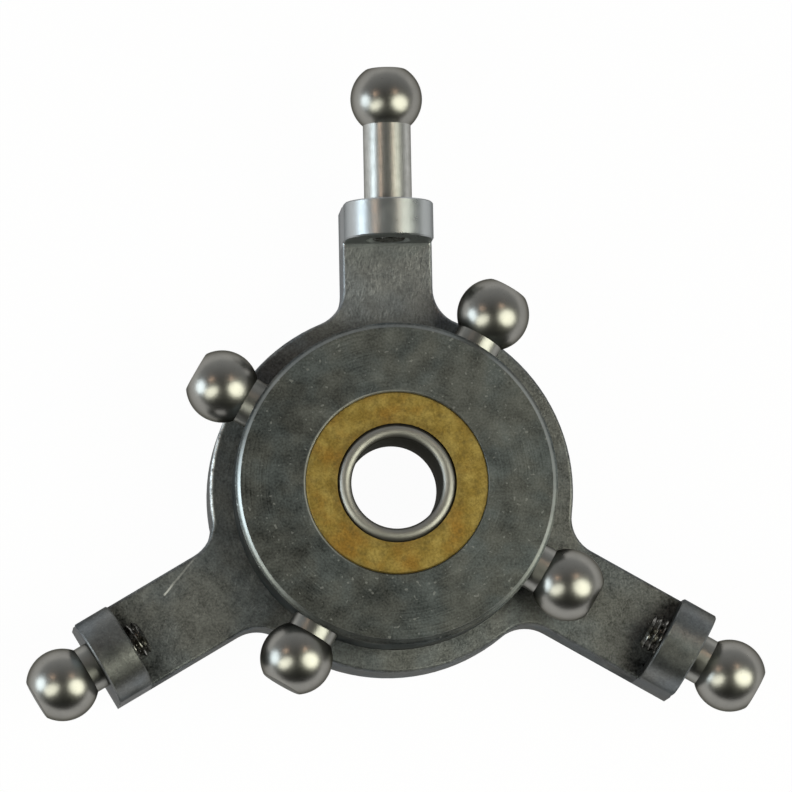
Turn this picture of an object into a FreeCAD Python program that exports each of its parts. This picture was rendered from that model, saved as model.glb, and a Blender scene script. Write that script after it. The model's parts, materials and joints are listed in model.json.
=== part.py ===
import FreeCAD, Part
import math
import os

# Swashplate of a model helicopter, for a 6 mm mast.
#
# The fixed star (ring, three arms, three lugs) is held still by the servo links.  The rotating star
# turns with the rotor head on a thin ball bearing.  Both tilt together about the mast ball, which sits
# between two brass races in the rotating star and slides on the mast.
#
# Millimetres.  The origin is the centre of the mast ball, +Z runs up the mast towards the rotor head,
# and +Y points along the anti-rotation arm.

# --- mast ball and its seat ---
mast_diameter = 6.0
mast_ball_diameter = 9.6
ball_lip_width = 0.17          # flat ring left round each mouth of the bore
bore_chamfer = 0.06
tilt_limit = 12.0              # degrees each way from square to the mast
liner_clearance = 0.04         # on each face of the slip ring
liner_wall = 0.30
liner_height = 2.2
liner_slit = 0.4
seat_margin = 0.2              # room left beyond the tilted slip ring
lip_gap = 0.16                 # between the ball and the brass lip
lip_height = 0.68
race_wall = 0.85               # brass left outside the seat at the ball's equator
race_fit = 0.02
race_chamfer = 0.08

# --- rotating star ---
disc_overhang = 0.18           # of the disc's rim beyond the bearing's outside
disc_thickness = 5.0
disc_bevel_width = 0.34
disc_bevel_drop = 0.27
disc_under_chamfer = 0.2
race_pocket_chamfer = 0.07
mast_passage_clearance = 0.65  # round the tilted mast
hub_land = 0.4                 # hub left below its snap ring

# --- ball bearing ---
# A thin standard size, 15 x 21 x 4: its bore follows from the hub, its outside from its section.
hub_wall = 1.44                # hub left outside the brass races' pocket
bearing_section = 3.0          # radially, from bore to outside
bearing_width = 4.0
bearing_fit = 0.01
bearing_ball_diameter = 1.588
bearing_ball_count = 12
groove_clearance = 0.035
land_gap = 1.1                 # radial room between the two races' lands
race_edge_chamfer = 0.15
shield_thickness = 0.2
shield_recess = 0.35
shield_grip = 0.25             # how far the shield reaches into the outer race
shield_running_gap = 0.1
cage_wall = 0.56
cage_pocket_clearance = 0.06
cage_web = 0.35                # cage left below each pocket
cage_claw = 0.45               # height of the claws above the ball centres

# --- bearing retention ---
snap_thickness = 0.5
snap_groove_depth = 0.4
snap_groove_slack = 0.04
snap_radial_gap = 0.03
bearing_snap_width = 1.12
bearing_snap_opening = 40.0    # degrees
hub_snap_width = 1.1
hub_snap_opening = 60.0        # degrees
snap_ear_radius = 0.55
snap_ear_hole_radius = 0.25
shim_thickness = 0.3
shim_width = 0.9
retaining_lip_thickness = 0.4
retaining_lip_depth = 0.6
ring_land = 0.5                # ring left below the snap ring

# --- fixed star ---
star_gap = 0.2                 # between the disc's underside and the ring's top
ring_wall = 1.64
ring_bore_chamfer = 0.2
arm_width = 6.0
arm_thickness = 4.0
arm_root_radius = 2.5
top_edge_radius = 0.22
lug_thickness = 2.5
lug_axis_height = 1.6          # stud axis above the arm's top
lug_edge_chamfer = 0.1
stud_countersink = 0.25
servo_ball_circle = 25.56      # radius from the mast's axis to the two servo balls
anti_rotation_ball_circle = 26.13
arm_angles = {"anti_rotation": 90.0, "left_servo": 210.0, "right_servo": 330.0}

# --- ball studs ---
stud_ball_diameter = 4.8
stud_flat_distance = 2.0       # ball centre to the flat on its outer end
stud_flat_round = 0.3
stud_neck_diameter = 3.2
stud_thread_diameter = 2.5
stud_thread_clearance = 0.02
stud_end_chamfer = 0.25
stud_seat_distance = 2.65      # ball centre to the shoulder of a short stud
stud_thread_length = 3.6
stud_hole_spare = 0.2
guide_seat_distance = 7.0      # ball centre to the shoulder of the anti-rotation stud
spotface_depth = 0.13
spotface_clearance = 0.05
head_stud_depth = 2.0          # stud axis below the disc's top
head_stud_count = 4
head_first_angle = 59.3        # degrees; the rotating star is drawn as it came to rest

# --- worked out from the values above ---
mast_bore_radius = mast_diameter / 2
ball_radius = mast_ball_diameter / 2
ball_half_length = math.sqrt(ball_radius ** 2 - (mast_bore_radius + ball_lip_width) ** 2)
liner_inner_radius = ball_radius + liner_clearance
liner_outer_radius = liner_inner_radius + liner_wall
seat_radius = liner_outer_radius + liner_clearance
liner_edge_angle = math.asin(liner_height / 2 / liner_outer_radius)
seat_half_height = liner_outer_radius * math.sin(liner_edge_angle + math.radians(tilt_limit)) + seat_margin
lip_radius = ball_radius + lip_gap
race_half_height = seat_half_height + lip_height
race_outer_radius = seat_radius + race_wall
race_pocket_radius = race_outer_radius + race_fit

disc_top = race_half_height
disc_bottom = disc_top - disc_thickness
ring_top = disc_bottom - star_gap
bearing_top = ring_top - retaining_lip_thickness
bearing_middle = bearing_top - bearing_width / 2
bearing_bottom = bearing_top - bearing_width
hub_radius = race_pocket_radius + hub_wall
bearing_inner_radius = hub_radius + bearing_fit
bearing_outer_radius = bearing_inner_radius + bearing_section
disc_radius = bearing_outer_radius + disc_overhang
pitch_radius = (bearing_inner_radius + bearing_outer_radius) / 2
inner_land_radius = pitch_radius - land_gap / 2
outer_land_radius = pitch_radius + land_gap / 2
hub_bottom = bearing_bottom - snap_thickness - hub_land
hub_groove_radius = hub_radius - snap_groove_depth
shim_top = bearing_top + shim_thickness
shim_outer_radius = bearing_inner_radius + shim_width
ring_bore_radius = bearing_outer_radius + bearing_fit
ring_groove_radius = ring_bore_radius + snap_groove_depth
ring_outer_radius = ring_bore_radius + ring_wall
ring_bottom = bearing_bottom - snap_thickness - ring_land
snap_bottom = bearing_bottom - snap_thickness

arm_bottom = ring_top - arm_thickness
lug_axis_z = ring_top + lug_axis_height
lug_radius = arm_width / 2
lug_faces = {
    "anti_rotation": anti_rotation_ball_circle - guide_seat_distance,
    "left_servo": servo_ball_circle - stud_seat_distance,
    "right_servo": servo_ball_circle - stud_seat_distance,
}
ball_circles = {
    "anti_rotation": anti_rotation_ball_circle,
    "left_servo": servo_ball_circle,
    "right_servo": servo_ball_circle,
}
stud_ball_radius = stud_ball_diameter / 2
stud_neck_radius = stud_neck_diameter / 2
stud_thread_radius = stud_thread_diameter / 2
stud_hole_radius = stud_thread_radius + stud_thread_clearance
head_seat_radius = disc_radius - spotface_depth
head_ball_circle = head_seat_radius + stud_seat_distance
head_stud_z = disc_top - head_stud_depth
head_angles = [head_first_angle + 360.0 / head_stud_count * index for index in range(head_stud_count)]

UP = FreeCAD.Vector(0, 0, 1)
OUTWARD = FreeCAD.Vector(1, 0, 0)
ORIGIN = FreeCAD.Vector(0, 0, 0)
CUT_OVERSHOOT = 1.0


def sphere_point(radius, height):
    """The (r, z) point of a sphere about the origin at a height."""
    return (math.sqrt(radius ** 2 - height ** 2), height)


def section(start, *steps):
    """A closed face in the XZ plane.  A step is an (x, z) point, or ((x, z), (x, z)): an arc through
    the first point to the second."""
    def vector(point):
        return FreeCAD.Vector(point[0], 0, point[1])

    edges = []
    here = vector(start)
    for step in steps + (start,):
        if isinstance(step[0], tuple):
            target = vector(step[1])
            edges.append(Part.Arc(here, vector(step[0]), target).toShape())
        else:
            target = vector(step)
            if target.distanceToPoint(here) > 1e-9:
                edges.append(Part.LineSegment(here, target).toShape())
        here = target
    return Part.Face(Part.Wire(edges))


def turned(start, *steps):
    """A section turned about the mast's axis."""
    return section(start, *steps).revolve(ORIGIN, UP, 360)


def tube(inner_radius, outer_radius, bottom, top):
    """A plain ring about the mast's axis."""
    outside = Part.makeCylinder(outer_radius, top - bottom, FreeCAD.Vector(0, 0, bottom))
    inside = Part.makeCylinder(inner_radius, top - bottom, FreeCAD.Vector(0, 0, bottom))
    return outside.cut(inside)


def radial_rod(radius, start, length, height):
    """A rod along +X, at a height, from a distance start outwards."""
    return Part.makeCylinder(radius, length, FreeCAD.Vector(start, 0, height), OUTWARD)


def aimed(shape, angle):
    """The shape turned about the mast's axis from +X to an angle."""
    copy = shape.copy()
    copy.rotate(ORIGIN, UP, angle)
    return copy


def edges_where(shape, wanted):
    """The edges whose centre of mass passes a test."""
    return [edge for edge in shape.Edges if wanted(edge, edge.CenterOfMass)]


def from_axis(point):
    """Distance of a point from the mast's axis."""
    return math.hypot(point.x, point.y)


def mast_ball():
    """Steel ball, cut flat at both ends and bored for the mast."""
    bore = mast_bore_radius
    mouth = bore + bore_chamfer
    end = ball_half_length
    below = sphere_point(ball_radius, -end)
    above = sphere_point(ball_radius, end)
    return turned((bore, -end + bore_chamfer), (mouth, -end), below, ((ball_radius, 0), above),
                  (mouth, end), (bore, end - bore_chamfer))


def slip_ring():
    """Thin acetal zone of a sphere between the ball and the brass, slit so that it snaps over the ball."""
    half = liner_height / 2
    inner_low = sphere_point(liner_inner_radius, -half)
    inner_high = sphere_point(liner_inner_radius, half)
    outer_low = sphere_point(liner_outer_radius, -half)
    outer_high = sphere_point(liner_outer_radius, half)
    ring = turned(inner_low, outer_low, ((liner_outer_radius, 0), outer_high), inner_high,
                  ((liner_inner_radius, 0), inner_low))
    corner = FreeCAD.Vector(0, -liner_slit / 2, -liner_height)
    slit = Part.makeBox(seat_radius, liner_slit, 2 * liner_height, corner)
    return ring.cut(aimed(slit, 45))


def upper_ball_race():
    """Brass half seat: room for the slip ring, then a lip that follows the ball.  Its top face shows."""
    seat_middle_height = seat_half_height / 2
    lip_middle_height = (seat_half_height + race_half_height) / 2
    lip_edge = sphere_point(lip_radius, race_half_height)
    return turned(
        (seat_radius, 0), (race_outer_radius, 0), (race_outer_radius, race_half_height - race_chamfer),
        (race_outer_radius - race_chamfer, race_half_height), lip_edge,
        (sphere_point(lip_radius, lip_middle_height), sphere_point(lip_radius, seat_half_height)),
        sphere_point(seat_radius, seat_half_height),
        (sphere_point(seat_radius, seat_middle_height), (seat_radius, 0)))


def lower_ball_race():
    """The same brass half, turned over, resting on the shoulder in the hub."""
    return upper_ball_race().mirror(ORIGIN, UP)


def mast_passage_radius(height):
    """Radius that the mast sweeps at a height when the star is tilted to its limit, with clearance."""
    tilt = math.radians(tilt_limit)
    return abs(height) * math.tan(tilt) + mast_bore_radius / math.cos(tilt) + mast_passage_clearance


def rotating_star():
    """Disc and hub in one turned piece, with four spotfaced, tapped holes for the head's ball studs."""
    shoulder = -race_half_height
    chamfer = race_edge_chamfer
    body = turned(
        (race_pocket_radius, shoulder), (race_pocket_radius, disc_top - race_pocket_chamfer),
        (race_pocket_radius + race_pocket_chamfer, disc_top), (disc_radius - disc_bevel_width, disc_top),
        (disc_radius, disc_top - disc_bevel_drop), (disc_radius, disc_bottom + disc_under_chamfer),
        (disc_radius - disc_under_chamfer, disc_bottom), (shim_outer_radius, disc_bottom),
        (shim_outer_radius, shim_top), (hub_radius, shim_top), (hub_radius, bearing_bottom),
        (hub_groove_radius, bearing_bottom),
        (hub_groove_radius, snap_bottom - snap_groove_slack),
        (hub_radius, snap_bottom - snap_groove_slack), (hub_radius, hub_bottom + chamfer),
        (hub_radius - chamfer, hub_bottom), (mast_passage_radius(hub_bottom), hub_bottom),
        (mast_passage_radius(shoulder), shoulder))
    hole_depth = stud_thread_length + stud_hole_spare
    hole = radial_rod(stud_hole_radius, head_seat_radius - hole_depth, hole_depth + CUT_OVERSHOOT, head_stud_z)
    spotface = radial_rod(stud_neck_radius + spotface_clearance, head_seat_radius, CUT_OVERSHOOT, head_stud_z)
    for angle in head_angles:
        body = body.cut(aimed(hole, angle))
        body = body.cut(aimed(spotface, angle))
    return body


def ball_stud(seat_distance, thread_length):
    """Turned steel stud along +X with its ball's centre at the origin: ball with a flat end, neck down
    to the shoulder, plain-modelled thread and a chamfered point."""
    flat_radius = math.sqrt(stud_ball_radius ** 2 - stud_flat_distance ** 2)
    neck_meets_ball = -math.sqrt(stud_ball_radius ** 2 - stud_neck_radius ** 2)
    point = -seat_distance - thread_length
    half = section(
        (point, 0), (point, stud_thread_radius - stud_end_chamfer),
        (point + stud_end_chamfer, stud_thread_radius), (-seat_distance, stud_thread_radius),
        (-seat_distance, stud_neck_radius), (neck_meets_ball, stud_neck_radius),
        ((0, stud_ball_radius), (stud_flat_distance, flat_radius)), (stud_flat_distance, 0))
    stud = half.revolve(ORIGIN, OUTWARD, 360)
    rim = edges_where(stud, lambda edge, centre: abs(centre.x - stud_flat_distance) < 1e-3
                      and isinstance(edge.Curve, Part.Circle))
    return stud.makeFillet(stud_flat_round, rim)


def placed_stud(stud, circle, height, angle):
    """A stud moved out to its ball circle and turned to its angle."""
    copy = stud.copy()
    copy.translate(FreeCAD.Vector(circle, 0, height))
    return aimed(copy, angle)


def arm_layer():
    """The fixed star's plan: ring and three arms, with rounded roots, as thick as the arms."""
    layer = Part.makeCylinder(ring_outer_radius, arm_thickness, FreeCAD.Vector(0, 0, arm_bottom))
    for name, angle in arm_angles.items():
        corner = FreeCAD.Vector(0, -arm_width / 2, arm_bottom)
        layer = layer.fuse(aimed(Part.makeBox(lug_faces[name], arm_width, arm_thickness, corner), angle))
    layer = layer.removeSplitter()
    roots = edges_where(layer, lambda edge, centre: abs(from_axis(centre) - ring_outer_radius) < 1e-3
                        and edge.BoundBox.ZLength > arm_thickness - 1e-3
                        and edge.BoundBox.XLength < 1e-3)
    return layer.makeFillet(arm_root_radius, roots)


def lug(face_radius):
    """Round-topped lug on the end of an arm along +X."""
    inner = face_radius - lug_thickness
    corner = FreeCAD.Vector(inner, -arm_width / 2, arm_bottom)
    block = Part.makeBox(lug_thickness, arm_width, lug_axis_z - arm_bottom, corner)
    shape = block.fuse(radial_rod(lug_radius, inner, lug_thickness, lug_axis_z)).removeSplitter()
    rims = edges_where(shape, lambda edge, centre: centre.z > lug_axis_z + 1e-3
                       and edge.BoundBox.XLength < 1e-3)
    return shape.makeChamfer(lug_edge_chamfer, rims)


def stud_hole(face_radius):
    """Tapped hole through a lug along +X, countersunk at its inner mouth."""
    inner = face_radius - lug_thickness
    hole = radial_rod(stud_hole_radius, inner - CUT_OVERSHOOT, lug_thickness + 2 * CUT_OVERSHOOT, lug_axis_z)
    sink = Part.makeCone(stud_hole_radius + stud_countersink, stud_hole_radius, stud_countersink,
                         FreeCAD.Vector(inner, 0, lug_axis_z), OUTWARD)
    return hole.fuse(sink)


def fixed_star():
    """Ring, arms and lugs in one piece, bored for the bearing from below up to a retaining lip."""
    body = arm_layer()
    body = body.fuse(Part.makeCylinder(ring_outer_radius, ring_top - ring_bottom,
                                       FreeCAD.Vector(0, 0, ring_bottom))).removeSplitter()
    top_edges = edges_where(body, lambda edge, centre: abs(edge.BoundBox.ZMin - ring_top) < 1e-3
                            and abs(edge.BoundBox.ZMax - ring_top) < 1e-3)
    body = body.makeFillet(top_edge_radius, top_edges)
    for name, angle in arm_angles.items():
        body = body.fuse(aimed(lug(lug_faces[name]), angle))
    body = body.removeSplitter()
    lip_radius_inside = ring_bore_radius - retaining_lip_depth
    mouth = ring_bore_radius + ring_bore_chamfer
    slack_bottom = snap_bottom - snap_groove_slack
    bore = turned(
        (0, ring_bottom - CUT_OVERSHOOT), (mouth, ring_bottom - CUT_OVERSHOOT), (mouth, ring_bottom),
        (ring_bore_radius, ring_bottom + ring_bore_chamfer), (ring_bore_radius, slack_bottom),
        (ring_groove_radius, slack_bottom), (ring_groove_radius, bearing_bottom),
        (ring_bore_radius, bearing_bottom), (ring_bore_radius, bearing_top),
        (lip_radius_inside, bearing_top), (lip_radius_inside, ring_top + CUT_OVERSHOOT),
        (0, ring_top + CUT_OVERSHOOT))
    body = body.cut(bore)
    for name, angle in arm_angles.items():
        body = body.cut(aimed(stud_hole(lug_faces[name]), angle))
    return body


def bearing_race(seat_radius_value, land_radius):
    """One hardened bearing ring: seat face on the shaft or housing side, land with a ball groove."""
    outer = seat_radius_value > land_radius
    side = 1 if outer else -1
    chamfer = race_edge_chamfer
    half = bearing_width / 2
    groove_radius = bearing_ball_diameter / 2 + groove_clearance
    groove_half = math.sqrt(groove_radius ** 2 - (land_gap / 2) ** 2)
    recess_land = land_radius + shield_grip if outer else land_radius
    recess_floor = half - shield_recess if outer else half
    middle = bearing_middle
    groove_bottom = pitch_radius + side * groove_radius
    return turned(
        (seat_radius_value, middle - half + chamfer), (seat_radius_value, middle + half - chamfer),
        (seat_radius_value - side * chamfer, middle + half), (recess_land, middle + half),
        (recess_land, middle + recess_floor), (land_radius, middle + recess_floor),
        (land_radius, middle + groove_half),
        ((groove_bottom, middle), (land_radius, middle - groove_half)),
        (land_radius, middle - recess_floor), (recess_land, middle - recess_floor),
        (recess_land, middle - half), (seat_radius_value - side * chamfer, middle - half))


def bearing_balls():
    """The bearing's rolling balls, evenly spaced on the pitch circle."""
    ball = Part.makeSphere(bearing_ball_diameter / 2, FreeCAD.Vector(pitch_radius, 0, bearing_middle))
    step = 360.0 / bearing_ball_count
    return Part.makeCompound([aimed(ball, step * index) for index in range(bearing_ball_count)])


def bearing_cage():
    """Nylon crown cage: a ring below the balls with an open pocket for each."""
    pocket_radius = bearing_ball_diameter / 2 + cage_pocket_clearance
    bottom = bearing_middle - pocket_radius - cage_web
    ring = tube(pitch_radius - cage_wall / 2, pitch_radius + cage_wall / 2, bottom,
                bearing_middle + cage_claw)
    pocket = radial_rod(pocket_radius, pitch_radius - cage_wall, 2 * cage_wall, bearing_middle)
    step = 360.0 / bearing_ball_count
    return ring.cut(Part.makeCompound([aimed(pocket, step * index) for index in range(bearing_ball_count)]))


def bearing_shield(direction):
    """Thin steel shield in the outer race's recess, clear of the inner race; direction is 1 or -1."""
    inner_face = bearing_middle + direction * (bearing_width / 2 - shield_recess)
    outer_face = inner_face + direction * shield_thickness
    return tube(inner_land_radius + shield_running_gap, outer_land_radius + shield_grip,
                min(inner_face, outer_face), max(inner_face, outer_face))


def shim_washer():
    """Steel shim between the rotating star's shoulder and the bearing's inner race."""
    return tube(bearing_inner_radius, shim_outer_radius, bearing_top, shim_top)


def open_wedge(opening, radius, bottom, top):
    """A sector about the axis, centred on +X, that opens a snap ring."""
    sector = Part.makeCylinder(radius, top - bottom, FreeCAD.Vector(0, 0, bottom), UP, opening)
    return aimed(sector, -opening / 2)


def bearing_snap_ring():
    """Internal snap ring in the fixed star's groove, with an ear and a plier hole at each end."""
    outer = ring_groove_radius - snap_radial_gap
    inner = outer - bearing_snap_width
    ring = tube(inner, outer, snap_bottom, bearing_bottom)
    ring = ring.cut(open_wedge(bearing_snap_opening, outer + CUT_OVERSHOOT, snap_bottom, bearing_bottom))
    ear_circle = inner + snap_ear_radius / 2
    ear_turn = bearing_snap_opening / 2 + math.degrees(snap_ear_radius / ear_circle)
    centre = FreeCAD.Vector(ear_circle, 0, snap_bottom)
    for angle in (ear_turn, -ear_turn):
        ear = Part.makeCylinder(snap_ear_radius, snap_thickness, centre)
        ring = ring.fuse(aimed(ear, angle))
    ring = ring.removeSplitter()
    for angle in (ear_turn, -ear_turn):
        ring = ring.cut(aimed(Part.makeCylinder(snap_ear_hole_radius, snap_thickness, centre), angle))
    return ring


def hub_snap_ring():
    """Plain external snap ring in the hub's groove, under the inner race."""
    inner = hub_groove_radius + snap_radial_gap
    ring = tube(inner, inner + hub_snap_width, snap_bottom, bearing_bottom)
    return ring.cut(open_wedge(hub_snap_opening, inner + hub_snap_width + CUT_OVERSHOOT, snap_bottom,
                               bearing_bottom))


def all_parts():
    """Every node's name with its shape."""
    short_stud = ball_stud(stud_seat_distance, stud_thread_length)
    guide_stud = ball_stud(guide_seat_distance, lug_thickness)
    parts = {
        "mast_ball": mast_ball(),
        "slip_ring": slip_ring(),
        "upper_ball_race": upper_ball_race(),
        "lower_ball_race": lower_ball_race(),
        "rotating_star": rotating_star(),
        "fixed_star": fixed_star(),
        "bearing_outer_race": bearing_race(bearing_outer_radius, outer_land_radius),
        "bearing_inner_race": bearing_race(bearing_inner_radius, inner_land_radius),
        "bearing_balls": bearing_balls(),
        "bearing_cage": bearing_cage(),
        "bearing_upper_shield": bearing_shield(1),
        "bearing_lower_shield": bearing_shield(-1),
        "bearing_snap_ring": bearing_snap_ring(),
        "hub_snap_ring": hub_snap_ring(),
        "shim_washer": shim_washer(),
    }
    for name, angle in arm_angles.items():
        stud = guide_stud if name == "anti_rotation" else short_stud
        parts[name + "_ball_stud"] = placed_stud(stud, ball_circles[name], lug_axis_z, angle)
    for index, angle in enumerate(head_angles, start=1):
        parts["head_ball_stud_%d" % index] = placed_stud(short_stud, head_ball_circle, head_stud_z, angle)
    return parts


os.makedirs("parts", exist_ok=True)
for node, shape in all_parts().items():
    shape.exportStep(os.path.join("parts", node + ".step"))
    print("%-24s solids %2d  valid %s  volume %9.3f  z %7.3f .. %7.3f" % (
        node, len(shape.Solids), shape.isValid(), shape.Volume, shape.BoundBox.ZMin, shape.BoundBox.ZMax))
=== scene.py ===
import bpy
import json
import math
from mathutils import Matrix, Vector


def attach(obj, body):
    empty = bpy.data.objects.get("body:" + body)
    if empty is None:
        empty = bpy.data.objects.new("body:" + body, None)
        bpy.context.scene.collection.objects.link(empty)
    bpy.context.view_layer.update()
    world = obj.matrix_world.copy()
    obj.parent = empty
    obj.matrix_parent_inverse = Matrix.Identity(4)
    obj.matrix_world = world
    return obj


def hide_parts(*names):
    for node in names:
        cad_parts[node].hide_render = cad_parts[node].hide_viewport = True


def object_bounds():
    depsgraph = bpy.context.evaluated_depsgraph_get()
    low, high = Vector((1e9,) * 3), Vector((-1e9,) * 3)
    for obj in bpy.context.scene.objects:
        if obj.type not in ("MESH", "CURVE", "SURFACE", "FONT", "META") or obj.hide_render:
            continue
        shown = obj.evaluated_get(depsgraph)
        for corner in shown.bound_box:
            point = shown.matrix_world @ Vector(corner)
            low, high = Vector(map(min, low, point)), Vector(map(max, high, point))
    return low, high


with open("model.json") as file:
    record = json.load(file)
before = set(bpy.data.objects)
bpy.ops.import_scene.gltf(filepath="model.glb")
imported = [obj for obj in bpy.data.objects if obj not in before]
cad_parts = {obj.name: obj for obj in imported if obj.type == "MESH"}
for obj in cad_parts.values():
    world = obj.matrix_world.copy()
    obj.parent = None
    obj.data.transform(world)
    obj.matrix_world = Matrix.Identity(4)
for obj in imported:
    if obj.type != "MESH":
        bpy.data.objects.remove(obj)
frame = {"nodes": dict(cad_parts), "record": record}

# --- view ---
# Almost straight down, leaning back a little towards the lower left, through a long lens.
cad_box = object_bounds()
scene = bpy.context.scene
scene.view_settings.view_transform = "Standard"
camera = bpy.data.objects.new("camera", bpy.data.cameras.new("camera"))
scene.collection.objects.link(camera)
camera.location = (-0.0312953, -0.0448024, 0.4464173)
camera.rotation_euler = [math.radians(turn) for turn in (6.563, -3.918, -1.0766)]
camera.data.lens = 308.144
camera.data.sensor_width = 36
camera.data.clip_start = 0.01
scene.camera = camera


# --- floor ---
# A sheet of white paper that the fixed star rests on.  It looks white to the camera and in metal, and
# keeps a share of its real shading, so that the object's shadow stays.
class Wire:
    """An output of a shader node.  Arithmetic on it adds the Math nodes that do the sum."""

    def __init__(self, tree, socket=None):
        self.tree = tree
        self.socket = socket

    def node(self, kind, settings, inputs, output=0):
        """Adds any other node, fed by numbers, colours or wires, and gives one of its outputs."""
        made = self.tree.nodes.new("ShaderNode" + kind)
        for name, value in settings.items():
            setattr(made, name, value)
        for name, value in inputs.items():
            if isinstance(value, Wire):
                self.tree.links.new(value.socket, made.inputs[name])
            else:
                made.inputs[name].default_value = value
        return Wire(self.tree, made.outputs[output] if made.outputs else None)

    def math(self, operation, *operands):
        return self.node("Math", {"operation": operation}, dict(enumerate(operands)))

    def __add__(self, other):
        return self.math("ADD", self, other)

    def __radd__(self, other):
        return self.math("ADD", other, self)

    def __sub__(self, other):
        return self.math("SUBTRACT", self, other)

    def __rsub__(self, other):
        return self.math("SUBTRACT", other, self)

    def __mul__(self, other):
        return self.math("MULTIPLY", self, other)

    def __rmul__(self, other):
        return self.math("MULTIPLY", other, self)

    def __truediv__(self, other):
        return self.math("DIVIDE", self, other)

    def __rtruediv__(self, other):
        return self.math("DIVIDE", other, self)

    def __pow__(self, other):
        return self.math("POWER", self, other)


half_floor = 1.5
plain_white = 0.97
floor_mesh = bpy.data.meshes.new("floor")
floor_mesh.from_pydata([(-half_floor, -half_floor, 0), (half_floor, -half_floor, 0),
                        (half_floor, half_floor, 0), (-half_floor, half_floor, 0)], [], [(0, 1, 2, 3)])
floor = bpy.data.objects.new("floor", floor_mesh)
floor.location.z = cad_box[0][2]
scene.collection.objects.link(floor)
paper = bpy.data.materials.new("paper")
paper.use_nodes = True
paper.node_tree.nodes.clear()
root = Wire(paper.node_tree)
shaded = root.node("BsdfDiffuse", {}, {"Color": (0.88, 0.88, 0.88, 1)})
white = root.node("Emission", {}, {"Color": (1, 1, 1, 1), "Strength": 1.0})
seen = root.node("LightPath", {}, {}, "Is Camera Ray")
seen = seen + root.node("LightPath", {}, {}, "Is Glossy Ray")
seen = seen + root.node("LightPath", {}, {}, "Is Transmission Ray")
mixed = root.node("MixShader", {}, {0: seen * plain_white, 1: shaded, 2: white})
root.node("OutputMaterial", {}, {"Surface": mixed})
floor_mesh.materials.append(paper)

# --- light ---
# A dim studio with a cool lamp low on the left, two large warm ones over the object and two small
# orange ones behind it.  Each lamp has a direction, its size across and along in degrees, strength
# and colour.
lamp_distance = 0.25
lamps = {
    "low_left": ((-0.977, -0.014, 0.24), (32, 34), 4.6, (0.80, 0.92, 1.0)),
    "over_left": ((-0.626, -0.33, 0.702), (28, 48), 3.6, (0.99, 1.0, 0.86)),
    "over_right": ((0.669, -0.215, 0.706), (44, 56), 4.1, (0.99, 1.0, 0.84)),
    "back_left": ((-0.607, 0.283, 0.746), (9, 9), 4.6, (1.0, 0.68, 0.48)),
    "back_right": ((0.400, 0.352, 0.845), (9, 9), 4.2, (1.0, 0.68, 0.48)),
}
for name, (direction, (across, along), strength, colour) in lamps.items():
    lamp = bpy.data.objects.new(name, bpy.data.lights.new(name, "AREA"))
    scene.collection.objects.link(lamp)
    toward = Vector(direction).normalized()
    lamp.location = toward * lamp_distance
    lamp.rotation_euler = toward.to_track_quat("Z", "Y").to_euler()
    lamp.data.shape = "ELLIPSE"
    lamp.data.size = 2 * lamp_distance * math.tan(math.radians(across / 2))
    lamp.data.size_y = 2 * lamp_distance * math.tan(math.radians(along / 2))
    lamp.data.energy = strength * math.pi ** 2 * lamp.data.size * lamp.data.size_y / 4
    lamp.data.color = colour
world = bpy.data.worlds.new("studio")
scene.world = world
world.use_nodes = True
world.node_tree.nodes.clear()
root = Wire(world.node_tree)
direction = root.node("TexCoord", {}, {}, "Generated")
height = root.node("SeparateXYZ", {}, {"Vector": direction}, "Z")
depth = root.node("SeparateXYZ", {}, {"Vector": direction}, "Y")
overhead_glow = 0.03
horizon_glow = 0.28
rear_glow = 0.29
least_glow = 0.02
glow = overhead_glow + horizon_glow * (1 - height) + rear_glow * depth
glow = glow.math("MAXIMUM", glow, least_glow)
background = root.node("Background", {}, {"Color": (0.97, 0.99, 1.0, 1), "Strength": glow})
root.node("OutputWorld", {}, {"Surface": background})


# --- mast ball ---
# Steel, turned and bored, its mouths well rounded.  It is dull from use, and its bore has painted
# shade: it is painted nearly black.
millimetre = 0.001
mast_bore_radius = 3.0
mast_ball_radius = 4.8
mast_ball_mouth_round = 0.45
mast_ball_segments = 160
mouth_steps = 14
ball_side_steps = 40
sharp_edge_angle = 35


def new_material(name):
    """A blank node material, and the piece's own coordinates in millimetres to drive it."""
    made = bpy.data.materials.new(name)
    made.use_nodes = True
    made.node_tree.nodes.clear()
    own = Wire(made.node_tree).node("TexCoord", {}, {}, "Object")
    return made, own.node("VectorMath", {"operation": "SCALE"}, {0: own, "Scale": 1 / millimetre})


def finish(made, inputs):
    """Ends a material in a Principled shader with these inputs."""
    root = Wire(made.node_tree)
    root.node("OutputMaterial", {}, {"Surface": root.node("BsdfPrincipled", {}, inputs)})
    return made


def noise(place, size, detail=2.0):
    """Soft blobs about this size, from 0 to 1."""
    return place.node("TexNoise", {}, {"Vector": place, "Scale": 1 / size, "Detail": detail})


def ramp(value, low, high):
    """0 at low, 1 at high, smooth between."""
    return value.node("MapRange", {"interpolation_type": "SMOOTHSTEP"},
                      {"Value": value, "From Min": low, "From Max": high})


def blend(factor, first, second):
    """The first colour at 0, the second at 1."""
    return factor.node("Mix", {"data_type": "RGBA"}, {0: factor, 6: first, 7: second}, 2)


def part_of(place, axis):
    """One coordinate of a place."""
    return place.node("SeparateXYZ", {}, {"Vector": place}, axis)


def from_axis(place):
    """Distance from the mast's axis."""
    return (part_of(place, "X") ** 2 + part_of(place, "Y") ** 2) ** 0.5


def turning(place, pitch):
    """Noise in rings about the mast's axis, as a lathe leaves."""
    rings = place.node("CombineXYZ", {}, {"X": from_axis(place), "Y": part_of(place, "Z")})
    return noise(rings, pitch, 1.0)


def bump(height, depth):
    """A normal for a height from 0 to 1 that stands this many millimetres."""
    return height.node("Bump", {}, {"Height": height, "Distance": depth * millimetre})


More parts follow.
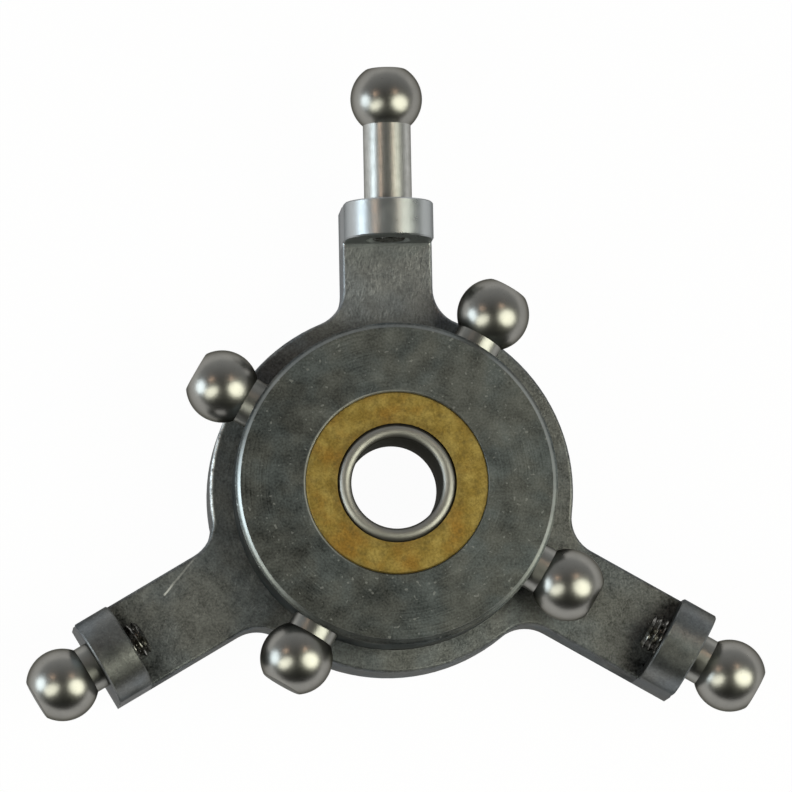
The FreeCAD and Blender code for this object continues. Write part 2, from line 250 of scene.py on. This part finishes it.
def dress(material, *nodes):
    """Gives CAD nodes a material."""
    for name in nodes:
        mesh = frame["nodes"][name].data
        mesh.materials.clear()
        mesh.materials.append(material)


def arc(centre, radius, start, end, steps):
    """Points (height, radius) on a circle, from one angle to another."""
    points = []
    for step in range(steps + 1):
        turn = start + (end - start) * step / steps
        points.append((centre[0] + radius * math.cos(turn), centre[1] + radius * math.sin(turn)))
    return points


def lathe(name, rings, closed):
    """A smooth mesh along +X, in metres, through rings of points (x, r) in millimetres."""
    around = len(rings[0])
    vertices = []
    for ring in rings:
        for turn, (x, r) in enumerate(ring):
            angle = 2 * math.pi * turn / around
            vertices.append(Vector((x, r * math.cos(angle), r * math.sin(angle))) * millimetre)
    faces = []
    for ring in range(len(rings) if closed else len(rings) - 1):
        after = (ring + 1) % len(rings)
        for turn in range(around):
            beside = (turn + 1) % around
            faces.append((ring * around + turn, after * around + turn,
                          after * around + beside, ring * around + beside))
    if not closed:
        faces.append([(len(rings) - 1) * around + turn for turn in reversed(range(around))])
    mesh = bpy.data.meshes.new(name)
    mesh.from_pydata(vertices, [], faces)
    mesh.polygons.foreach_set("use_smooth", [True] * len(mesh.polygons))
    mesh.set_sharp_from_angle(angle=math.radians(sharp_edge_angle))
    return mesh


crest_radius = mast_bore_radius + mast_ball_mouth_round
crest_height = math.sqrt((mast_ball_radius - mast_ball_mouth_round) ** 2 - crest_radius ** 2)
touch = math.atan2(crest_radius, crest_height)
outline = arc((crest_height, crest_radius), mast_ball_mouth_round, -math.pi / 2, touch, mouth_steps)
outline += arc((0, 0), mast_ball_radius, touch, math.pi - touch, ball_side_steps)[1:-1]
outline += arc((-crest_height, crest_radius), mast_ball_mouth_round, math.pi - touch, 1.5 * math.pi,
               mouth_steps)
ball_mesh = lathe("mast_ball_turned", [[point] * mast_ball_segments for point in outline], True)
ball_mesh.transform(Matrix.Rotation(math.radians(-90), 4, "Y"))
mast_ball = bpy.data.objects.new("mast_ball_turned", ball_mesh)
scene.collection.objects.link(mast_ball)
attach(mast_ball, "ball_on_mast")
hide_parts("mast_ball")

made, place = new_material("ball_steel")
# Painted shade: the bore's wall is painted nearly black.
inside = 1 - ramp(from_axis(place), mast_bore_radius + 0.01, mast_bore_radius + 0.12)
smears = noise(place, 0.9, 3.0)
finish(made, {
    "Base Color": blend(inside, blend(smears, (0.35, 0.343, 0.318, 1), (0.26, 0.252, 0.23, 1)),
                        (0.09, 0.088, 0.08, 1)),
    "Metallic": 1.0,
    "Roughness": 0.47 + 0.1 * inside + 0.16 * (smears - 0.5),
    "Specular Tint": (0.2, 0.2, 0.19, 1),
    "Normal": bump(turning(place, 0.06), 0.002)})
ball_mesh.materials.append(made)

# --- slip ring ---
# A thin band of natural acetal, moulded and slit.  It lies hidden between the ball and the brass, and
# tilts with the ball about one of its two axes.
made, place = new_material("acetal")
finish(made, {
    "Base Color": blend(noise(place, 1.2), (0.80, 0.79, 0.75, 1), (0.72, 0.70, 0.64, 1)),
    "Roughness": 0.42 + 0.1 * noise(place, 0.3),
    "Normal": bump(noise(place, 0.12), 0.002)})
dress(made, "slip_ring")

# --- brass races ---
# Turned brass halves that hold the ball.  The upper one's face is mottled by handling and old oil,
# browner in patches, with fine random scratches.
made, place = new_material("seat_brass")
clouds = noise(place, 1.0, 5.0)
grain = noise(place, 0.14, 2.0)
stain = ramp(noise(place, 2.2, 4.0), 0.46, 0.68)
grime = ramp(noise(place, 0.45, 4.0), 0.50, 0.72)
# The brass face is made darker towards its inner and outer edges, outside this middle band.
brass_face_middle = ramp(from_axis(place), 4.25, 4.6) * (1 - ramp(from_axis(place), 5.7, 6.0))
colour = blend(ramp(clouds, 0.32, 0.70), (0.33, 0.225, 0.050, 1), (0.44, 0.325, 0.090, 1))
colour = blend(stain * 0.8, colour, (0.36, 0.195, 0.035, 1))
colour = blend(grime * 0.5, colour, (0.20, 0.145, 0.045, 1))
colour = blend(0.25 - 0.25 * brass_face_middle, colour, (0.14, 0.10, 0.035, 1))
colour = place.node("VectorMath", {"operation": "SCALE"}, {0: colour, "Scale": 0.40 + 0.9 * grain})
finish(made, {
    "Base Color": colour,
    "Metallic": 0.85,
    "Roughness": 0.38 + 0.16 * clouds,
    "Normal": bump(turning(place, 0.08) + grain, 0.004)})
dress(made, "upper_ball_race", "lower_ball_race")


# --- rotating star ---
# The upper disc and its hub, turned from aluminium and tumbled dark, with faint arcs, soft blotches and
# small pale specks.  Its bevel is cleaner and brighter, with a painted highlight towards the left and right.
def streaks(place, turn, length, width):
    """Noise drawn out in the plan, along a direction turned from +X."""
    drawn = place.node("Mapping", {"vector_type": "TEXTURE"}, {
        "Vector": place, "Rotation": (0, 0, math.radians(turn)), "Scale": (length, width, width)})
    return noise(drawn, 1.0, 1.0)


disc_top = 3.0
made, place = new_material("dark_aluminium")
radius = from_axis(place)
blotch = noise(place, 1.3, 5.0)
grain = noise(place, 0.15, 2.0)
arcs = (turning(place, 0.15) - 0.5) * ramp(noise(place, 3.6), 0.46, 0.62)
dents = ramp(noise(place, 0.30, 1.0), 0.66, 0.80)
specks = ramp(noise(place, 0.24, 0.0), 0.76, 0.84) + 0.8 * ramp(streaks(place, 62, 1.3, 0.05), 0.76, 0.86)
rim = ramp(radius, 10.30, 10.37) * (1 - ramp(radius, 10.45, 10.60))
rim = rim * ramp(part_of(place, "Z"), disc_top - 0.34, disc_top - 0.28)
# Painted highlight: a pale line round the mouth of the bore, on its left and upper side.
painted_bore_glint = (1 - ramp(radius, 6.10, 6.22)) * ramp(part_of(place, "Y") * 0.4 - part_of(place, "X"), -1.0, 4.5)
# Painted light and shade: the disc is painted lighter towards its right and top and darker towards its left
# and bottom, broken up by noise.
painted_shading = ramp(part_of(place, "X") + 0.5 * part_of(place, "Y") + 8 * (noise(place, 5.0) - 0.5), -9.0, 7.0)
shade = 0.80 + 0.26 * painted_shading + 1.3 * (blotch - 0.5) + 1.2 * (grain - 0.5) + 1.0 * arcs - 0.3 * dents
tint = blend(ramp(noise(place, 3.0), 0.4, 0.65), (0.109, 0.113, 0.107, 1), (0.101, 0.113, 0.115, 1))
colour = place.node("VectorMath", {"operation": "SCALE"}, {0: tint, "Scale": shade})
colour = blend(specks * 0.32, colour, (0.42, 0.43, 0.42, 1))
across = part_of(place, "X")
across = across.math("ABSOLUTE", across)
# The bevel is lightened, partly as its cleaner machined finish and partly as a painted highlight that grows
# towards the left and right sides.
colour = blend(rim * (0.25 + 0.45 * ramp(across, 5.0, 9.5)), colour, (0.42, 0.44, 0.43, 1))
colour = blend(painted_bore_glint * 0.75, colour, (0.50, 0.51, 0.48, 1))
finish(made, {
    "Base Color": colour,
    "Metallic": 0.9,
    "Roughness": 0.46 + 0.2 * (blotch - 0.5) - 0.12 * rim,
    "Specular Tint": (0.2, 0.2, 0.2, 1),
    "Normal": bump((grain + arcs * 0.6 - dents * 0.4) * (1 - rim), 0.008)})
dress(made, "rotating_star")

# --- ball bearing ---
# The thin bearing between the stars: ground steel races and balls, a moulded nylon cage and pressed
# shields.  The steel shim above its inner race is finished as the shields are.
made, place = new_material("bearing_steel")
finish(made, {
    "Base Color": (0.55, 0.55, 0.54, 1),
    "Metallic": 1.0,
    "Roughness": 0.16 + 0.1 * noise(place, 0.7),
    "Normal": bump(turning(place, 0.05), 0.001)})
dress(made, "bearing_outer_race", "bearing_inner_race", "bearing_balls")
made, place = new_material("cage_nylon")
finish(made, {
    "Base Color": blend(noise(place, 0.8), (0.66, 0.60, 0.44, 1), (0.56, 0.48, 0.32, 1)),
    "Roughness": 0.5 + 0.1 * noise(place, 0.3),
    "Normal": bump(noise(place, 0.1), 0.002)})
dress(made, "bearing_cage")
made, place = new_material("shield_steel")
finish(made, {
    "Base Color": blend(noise(place, 1.0), (0.50, 0.50, 0.49, 1), (0.40, 0.39, 0.37, 1)),
    "Metallic": 1.0,
    "Roughness": 0.28 + 0.12 * noise(place, 0.5),
    "Normal": bump(turning(place, 0.07), 0.002)})
dress(made, "bearing_upper_shield", "bearing_lower_shield", "shim_washer")

# --- snap rings ---
# Punched spring steel with a black oil finish, rubbed through in places.  One holds the bearing in the
# fixed star, the other holds the hub in the bearing.
made, place = new_material("spring_steel")
rubbed = ramp(noise(place, 0.6, 3.0), 0.58, 0.72)
finish(made, {
    "Base Color": blend(rubbed, (0.07, 0.07, 0.075, 1), (0.26, 0.25, 0.24, 1)),
    "Metallic": 1.0,
    "Roughness": 0.38 - 0.1 * rubbed,
    "Normal": bump(noise(place, 0.1), 0.002)})
dress(made, "bearing_snap_ring", "hub_snap_ring")

# --- fixed star ---
# The ring, arms and lugs, milled from aluminium and tumbled, with short scratches in all directions and
# one long one on the left arm.  The anti-rotation arm is brushed lengthwise and cleaner.
links = {mount["name"]: mount for mount in frame["record"]["mounts"]}
ring_top = -2.2
lug_thickness = 2.5
short_seat_distance = 2.65
guide_seat_distance = 7.0
servo_arm_cosine = 0.866
servo_arm_sine = 0.5
made, place = new_material("grey_aluminium")
blotch = noise(place, 1.0, 5.0)
grain = noise(place, 0.14, 3.0)
servo_ball_distance = Vector(links["left_servo_link"]["pos_m"]).xy.length / millimetre
servo_lug_face = servo_ball_distance - short_seat_distance - lug_thickness
top_lug_face = links["anti_rotation_link"]["pos_m"][1] / millimetre - guide_seat_distance - lug_thickness
sideways = part_of(place, "X")
outward = servo_arm_cosine * sideways.math("ABSOLUTE", sideways) - servo_arm_sine * part_of(place, "Y")
servo_lugs = ramp(outward, servo_lug_face - 0.05, servo_lug_face)
top_lug = ramp(part_of(place, "Y"), top_lug_face - 0.3, top_lug_face) * ramp(part_of(place, "Z"), -6.0, -3.0)
# Painted shade: the arm tops are darkened in patches just inboard of the servo lugs, around the thread ends.
painted_shading = ramp(outward, servo_lug_face - 2.4, servo_lug_face - 0.2) * (1 - servo_lugs) * noise(place, 1.6)
scratches = 0
for turn, length, width, least in ((78, 2.2, 0.05, 0.70), (41, 1.6, 0.045, 0.72),
                                   (118, 1.9, 0.05, 0.73), (12, 1.4, 0.045, 0.74)):
    scratches = scratches + ramp(streaks(place, turn, length, width), least, least + 0.08)
long_scratch = place.node("Mapping", {"vector_type": "TEXTURE"}, {
    "Vector": place, "Location": (-15.33, -6.85, 0), "Rotation": (0, 0, math.radians(50))})
along = part_of(long_scratch, "X")
across = part_of(long_scratch, "Y") + 0.12 * (noise(place, 0.8) - 0.5)
across = across.math("ABSOLUTE", across)
mark = (1 - ramp(across, 0.03, 0.09)) * ramp(along, 0.0, 0.15) * (1 - ramp(along, 2.8, 3.7))
mark = mark * (1 - 0.7 * ramp(along, 0.4, 1.3)) * ramp(part_of(place, "Z"), ring_top - 0.2, ring_top - 0.1)
brushed = ramp(part_of(place, "Y"), 10.5, 12.5)
scuffed = brushed * ramp(noise(place, 1.3, 2.0), 0.38, 0.60)
wavy = place.node("VectorMath", {"operation": "ADD"}, {0: place, 1: place.node("CombineXYZ", {}, {
    "X": 0.5 * noise(place, 0.7), "Y": 0.5 * noise(place, 0.5)})})
strokes = (streaks(wavy, 84, 0.40, 0.13) - 0.44) * (0.4 * brushed + 0.6 * scuffed)
scuffs = ramp(streaks(wavy, 70, 0.42, 0.07), 0.62, 0.76) * scuffed
radius = from_axis(place)
lathe_marks = (turning(place, 0.16) - 0.5) * (1 - ramp(radius, 12.2, 12.4))
peel = noise(place, 0.28, 2.0)
mottling = blotch + 0.9 * grain + 0.7 * peel - 1.3 + 3.4 * strokes + 0.4 * lathe_marks
# Painted highlight: a pale broken line along the ring's outer top edge on the left side.
painted_edge_glint = ramp(radius, 11.84, 12.04) * (1 - ramp(radius, 12.20, 12.25))
painted_edge_glint = painted_edge_glint * ramp(part_of(place, "Z"), ring_top - 0.4, ring_top - 0.2)
painted_edge_glint = painted_edge_glint * ramp(-1 * sideways, 8.5, 11.5) * (1 - ramp(outward, 11.0, 11.4))
painted_edge_glint = painted_edge_glint * ramp(noise(place, 0.3, 2.0), 0.22, 0.62)
rough_cast = 1 - 0.4 * servo_lugs - 0.75 * top_lug
# Painted shade: the right arm is painted a little darker.
painted_right_shade = ramp(sideways, 8.0, 12.0) * (1 - servo_lugs)
shade = 1.0 + mottling * rough_cast + 0.42 * brushed - 0.9 * painted_shading - 0.10 * painted_right_shade
tint = blend(ramp(noise(place, 3.5), 0.4, 0.65), (0.160, 0.163, 0.157, 1), (0.150, 0.161, 0.166, 1))
colour = place.node("VectorMath", {"operation": "SCALE"}, {0: tint, "Scale": shade})
colour = blend((scratches * 0.25 + scuffs * 0.4) * (1 - top_lug), colour, (0.55, 0.55, 0.54, 1))
colour = blend(mark * 0.75, colour, (0.80, 0.80, 0.79, 1))
colour = blend(brushed * 0.35, colour, (0.20, 0.211, 0.232, 1))
colour = blend(painted_edge_glint * 0.85, colour, (0.66, 0.68, 0.68, 1))
# Painted light: the top lug is painted much lighter than the servo lugs, so its lamp highlights show
# brighter.
colour = blend(top_lug * 0.85, colour, (0.44, 0.46, 0.465, 1))
finish(made, {
    "Base Color": colour,
    "Metallic": 0.92,
    "Roughness": 0.46 + 0.2 * (blotch - 0.5) - 0.10 * servo_lugs - 0.15 * top_lug,
    "Specular Tint": (0.2, 0.2, 0.2, 1),
    "Normal": bump((grain + 0.7 * peel + 0.5 * blotch + strokes - 0.3 * scratches) * rough_cast, 0.010)})
dress(made, "fixed_star")


# --- ball studs ---
# Turned from steel bar and polished, each screwed in up to its shoulder.  The two servo studs come right
# through their lugs, so their last turns of thread show.
stud_ball_radius = 2.4
stud_flat_distance = 2.0
stud_flat_round = 0.3
stud_neck_radius = 1.6
stud_thread_radius = 1.25
stud_thread_pitch = 0.45
stud_thread_depth = 0.24
stud_thread_length = 3.6
stud_end_chamfer = 0.25
stud_edge_break = 0.04
valley_half_width = 0.42       # of a thread's valley, as a share of the pitch
steps_per_turn = 12
stud_segments = 96
head_stud_count = 4


def stud_outline(seat_distance):
    """Points (x, r) of a stud from the middle of its flat end down to the start of its thread."""
    round_centre = stud_flat_distance - stud_flat_round
    round_reach = stud_ball_radius - stud_flat_round
    round_radius = math.sqrt(round_reach ** 2 - round_centre ** 2)
    touch = math.atan2(round_radius, round_centre)
    neck = math.pi - math.asin(stud_neck_radius / stud_ball_radius)
    points = [(stud_flat_distance, 0.0), (stud_flat_distance, 0.6 * round_radius)]
    points += arc((round_centre, round_radius), stud_flat_round, 0, touch, 6)
    points += arc((0, 0), stud_ball_radius, touch, neck, ball_side_steps)[1:]
    neck_start = stud_ball_radius * math.cos(neck)
    points.append((neck_start - stud_edge_break, stud_neck_radius))
    points.append((-seat_distance + stud_edge_break, stud_neck_radius))
    points.append((-seat_distance, stud_neck_radius - stud_edge_break))
    points.append((-seat_distance, stud_thread_radius))
    return points


def thread_radius(depth_in, turn, length):
    """Radius of the thread at a depth below the shoulder and an angle, narrowing to its point."""
    phase = (depth_in / stud_thread_pitch + turn / (2 * math.pi)) % 1.0
    valley = max(0.0, 1 - abs(phase - 0.5) / valley_half_width)
    narrowing = max(0.0, depth_in - (length - stud_end_chamfer))
    return min(stud_thread_radius - stud_thread_depth * valley, stud_thread_radius - narrowing)


def ball_stud(name, link, seat_distance, thread_length, polished, satin, oily_and_shaded):
    """One stud whose ball is centred on a link's place in the record, pointing outwards."""
    rings = [[point] * stud_segments for point in stud_outline(seat_distance)]
    neck_start = len(rings) - 5     # the last ring of the ball
    thread_start = len(rings) - 2   # the outer ring of the shoulder
    turns = [2 * math.pi * turn / stud_segments for turn in range(stud_segments)]
    steps = int(thread_length / stud_thread_pitch * steps_per_turn)
    for step in range(1, steps + 1):
        depth_in = thread_length * step / steps
        rings.append([(-seat_distance - depth_in, thread_radius(depth_in, turn, thread_length))
                      for turn in turns])
    mesh = lathe(name, rings, False)
    outward = Vector(link["axis"])
    turn_to = Matrix((outward, Vector((0, 0, 1)).cross(outward), Vector((0, 0, 1)))).transposed().to_4x4()
    mesh.transform(Matrix.Translation(link["pos_m"]) @ turn_to)
    for material in (polished, satin, oily_and_shaded):
        mesh.materials.append(material)
    for face in mesh.polygons:
        ring = face.index // stud_segments
        face.material_index = (ring >= neck_start) + (ring >= thread_start)
    stud = bpy.data.objects.new(name, mesh)
    scene.collection.objects.link(stud)
    return stud


polished, place = new_material("stud_steel")
blotch = noise(place, 0.9, 3.0)
specks = ramp(noise(place, 0.12, 1.0), 0.66, 0.78)
colour = blend(blotch, (0.31, 0.302, 0.276, 1), (0.24, 0.236, 0.222, 1))
finish(polished, {
    "Base Color": blend(specks * 0.35, colour, (0.14, 0.135, 0.12, 1)),
    "Metallic": 1.0,
    "Roughness": 0.25 + 0.1 * blotch,
    "Specular Tint": (0.20, 0.20, 0.19, 1),
    "Normal": bump(noise(place, 0.09), 0.0012)})
satin, place = new_material("stud_neck_steel")
blotch = noise(place, 0.5, 4.0)
# Painted light: the necks furthest along +Y, which is the anti-rotation stud's, are painted much lighter so
# that their lamp highlights show brighter.
painted_light_on_top_neck = ramp(part_of(place, "Y"), 14.0, 16.0)
fine_lines = streaks(place, 90, 0.9, 0.07)
colour = blend(painted_light_on_top_neck, (0.31, 0.308, 0.29, 1), (0.64, 0.645, 0.62, 1))
finish(satin, {
    "Base Color": blend((blotch + fine_lines) * 0.5, colour, (0.22, 0.218, 0.20, 1)),
    "Metallic": 1.0,
    "Roughness": 0.33 + 0.12 * (blotch - 0.5),
    "Specular Tint": (0.30, 0.30, 0.29, 1),
    "Normal": bump(fine_lines, 0.003)})
oily_and_shaded, place = new_material("stud_thread_steel")
# The threads are darkened in patches, partly as grime and partly as painted shade.
grime = ramp(noise(place, 0.35, 3.0), 0.42, 0.62)
finish(oily_and_shaded, {
    "Base Color": blend(grime, (0.26, 0.255, 0.24, 1), (0.05, 0.048, 0.042, 1)),
    "Metallic": 1.0,
    "Roughness": 0.26 + 0.2 * grime,
    "Specular Tint": (0.4, 0.4, 0.4, 1),
    "Normal": bump(noise(place, 0.08), 0.002)})
studs = {
    "anti_rotation_ball_stud": ("anti_rotation_link", "fixed_side", guide_seat_distance, lug_thickness),
    "left_servo_ball_stud": ("left_servo_link", "fixed_side", short_seat_distance, stud_thread_length),
    "right_servo_ball_stud": ("right_servo_link", "fixed_side", short_seat_distance, stud_thread_length),
}
for index in range(1, head_stud_count + 1):
    studs["head_ball_stud_%d" % index] = ("head_link_%d" % index, "rotating_side", short_seat_distance,
                                          stud_thread_length)
for node, (link, body, seat_distance, thread_length) in studs.items():
    name = node.replace("_stud", "_stud_turned")
    stud = ball_stud(name, links[link], seat_distance, thread_length, polished, satin, oily_and_shaded)
    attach(stud, body)
    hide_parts(node)
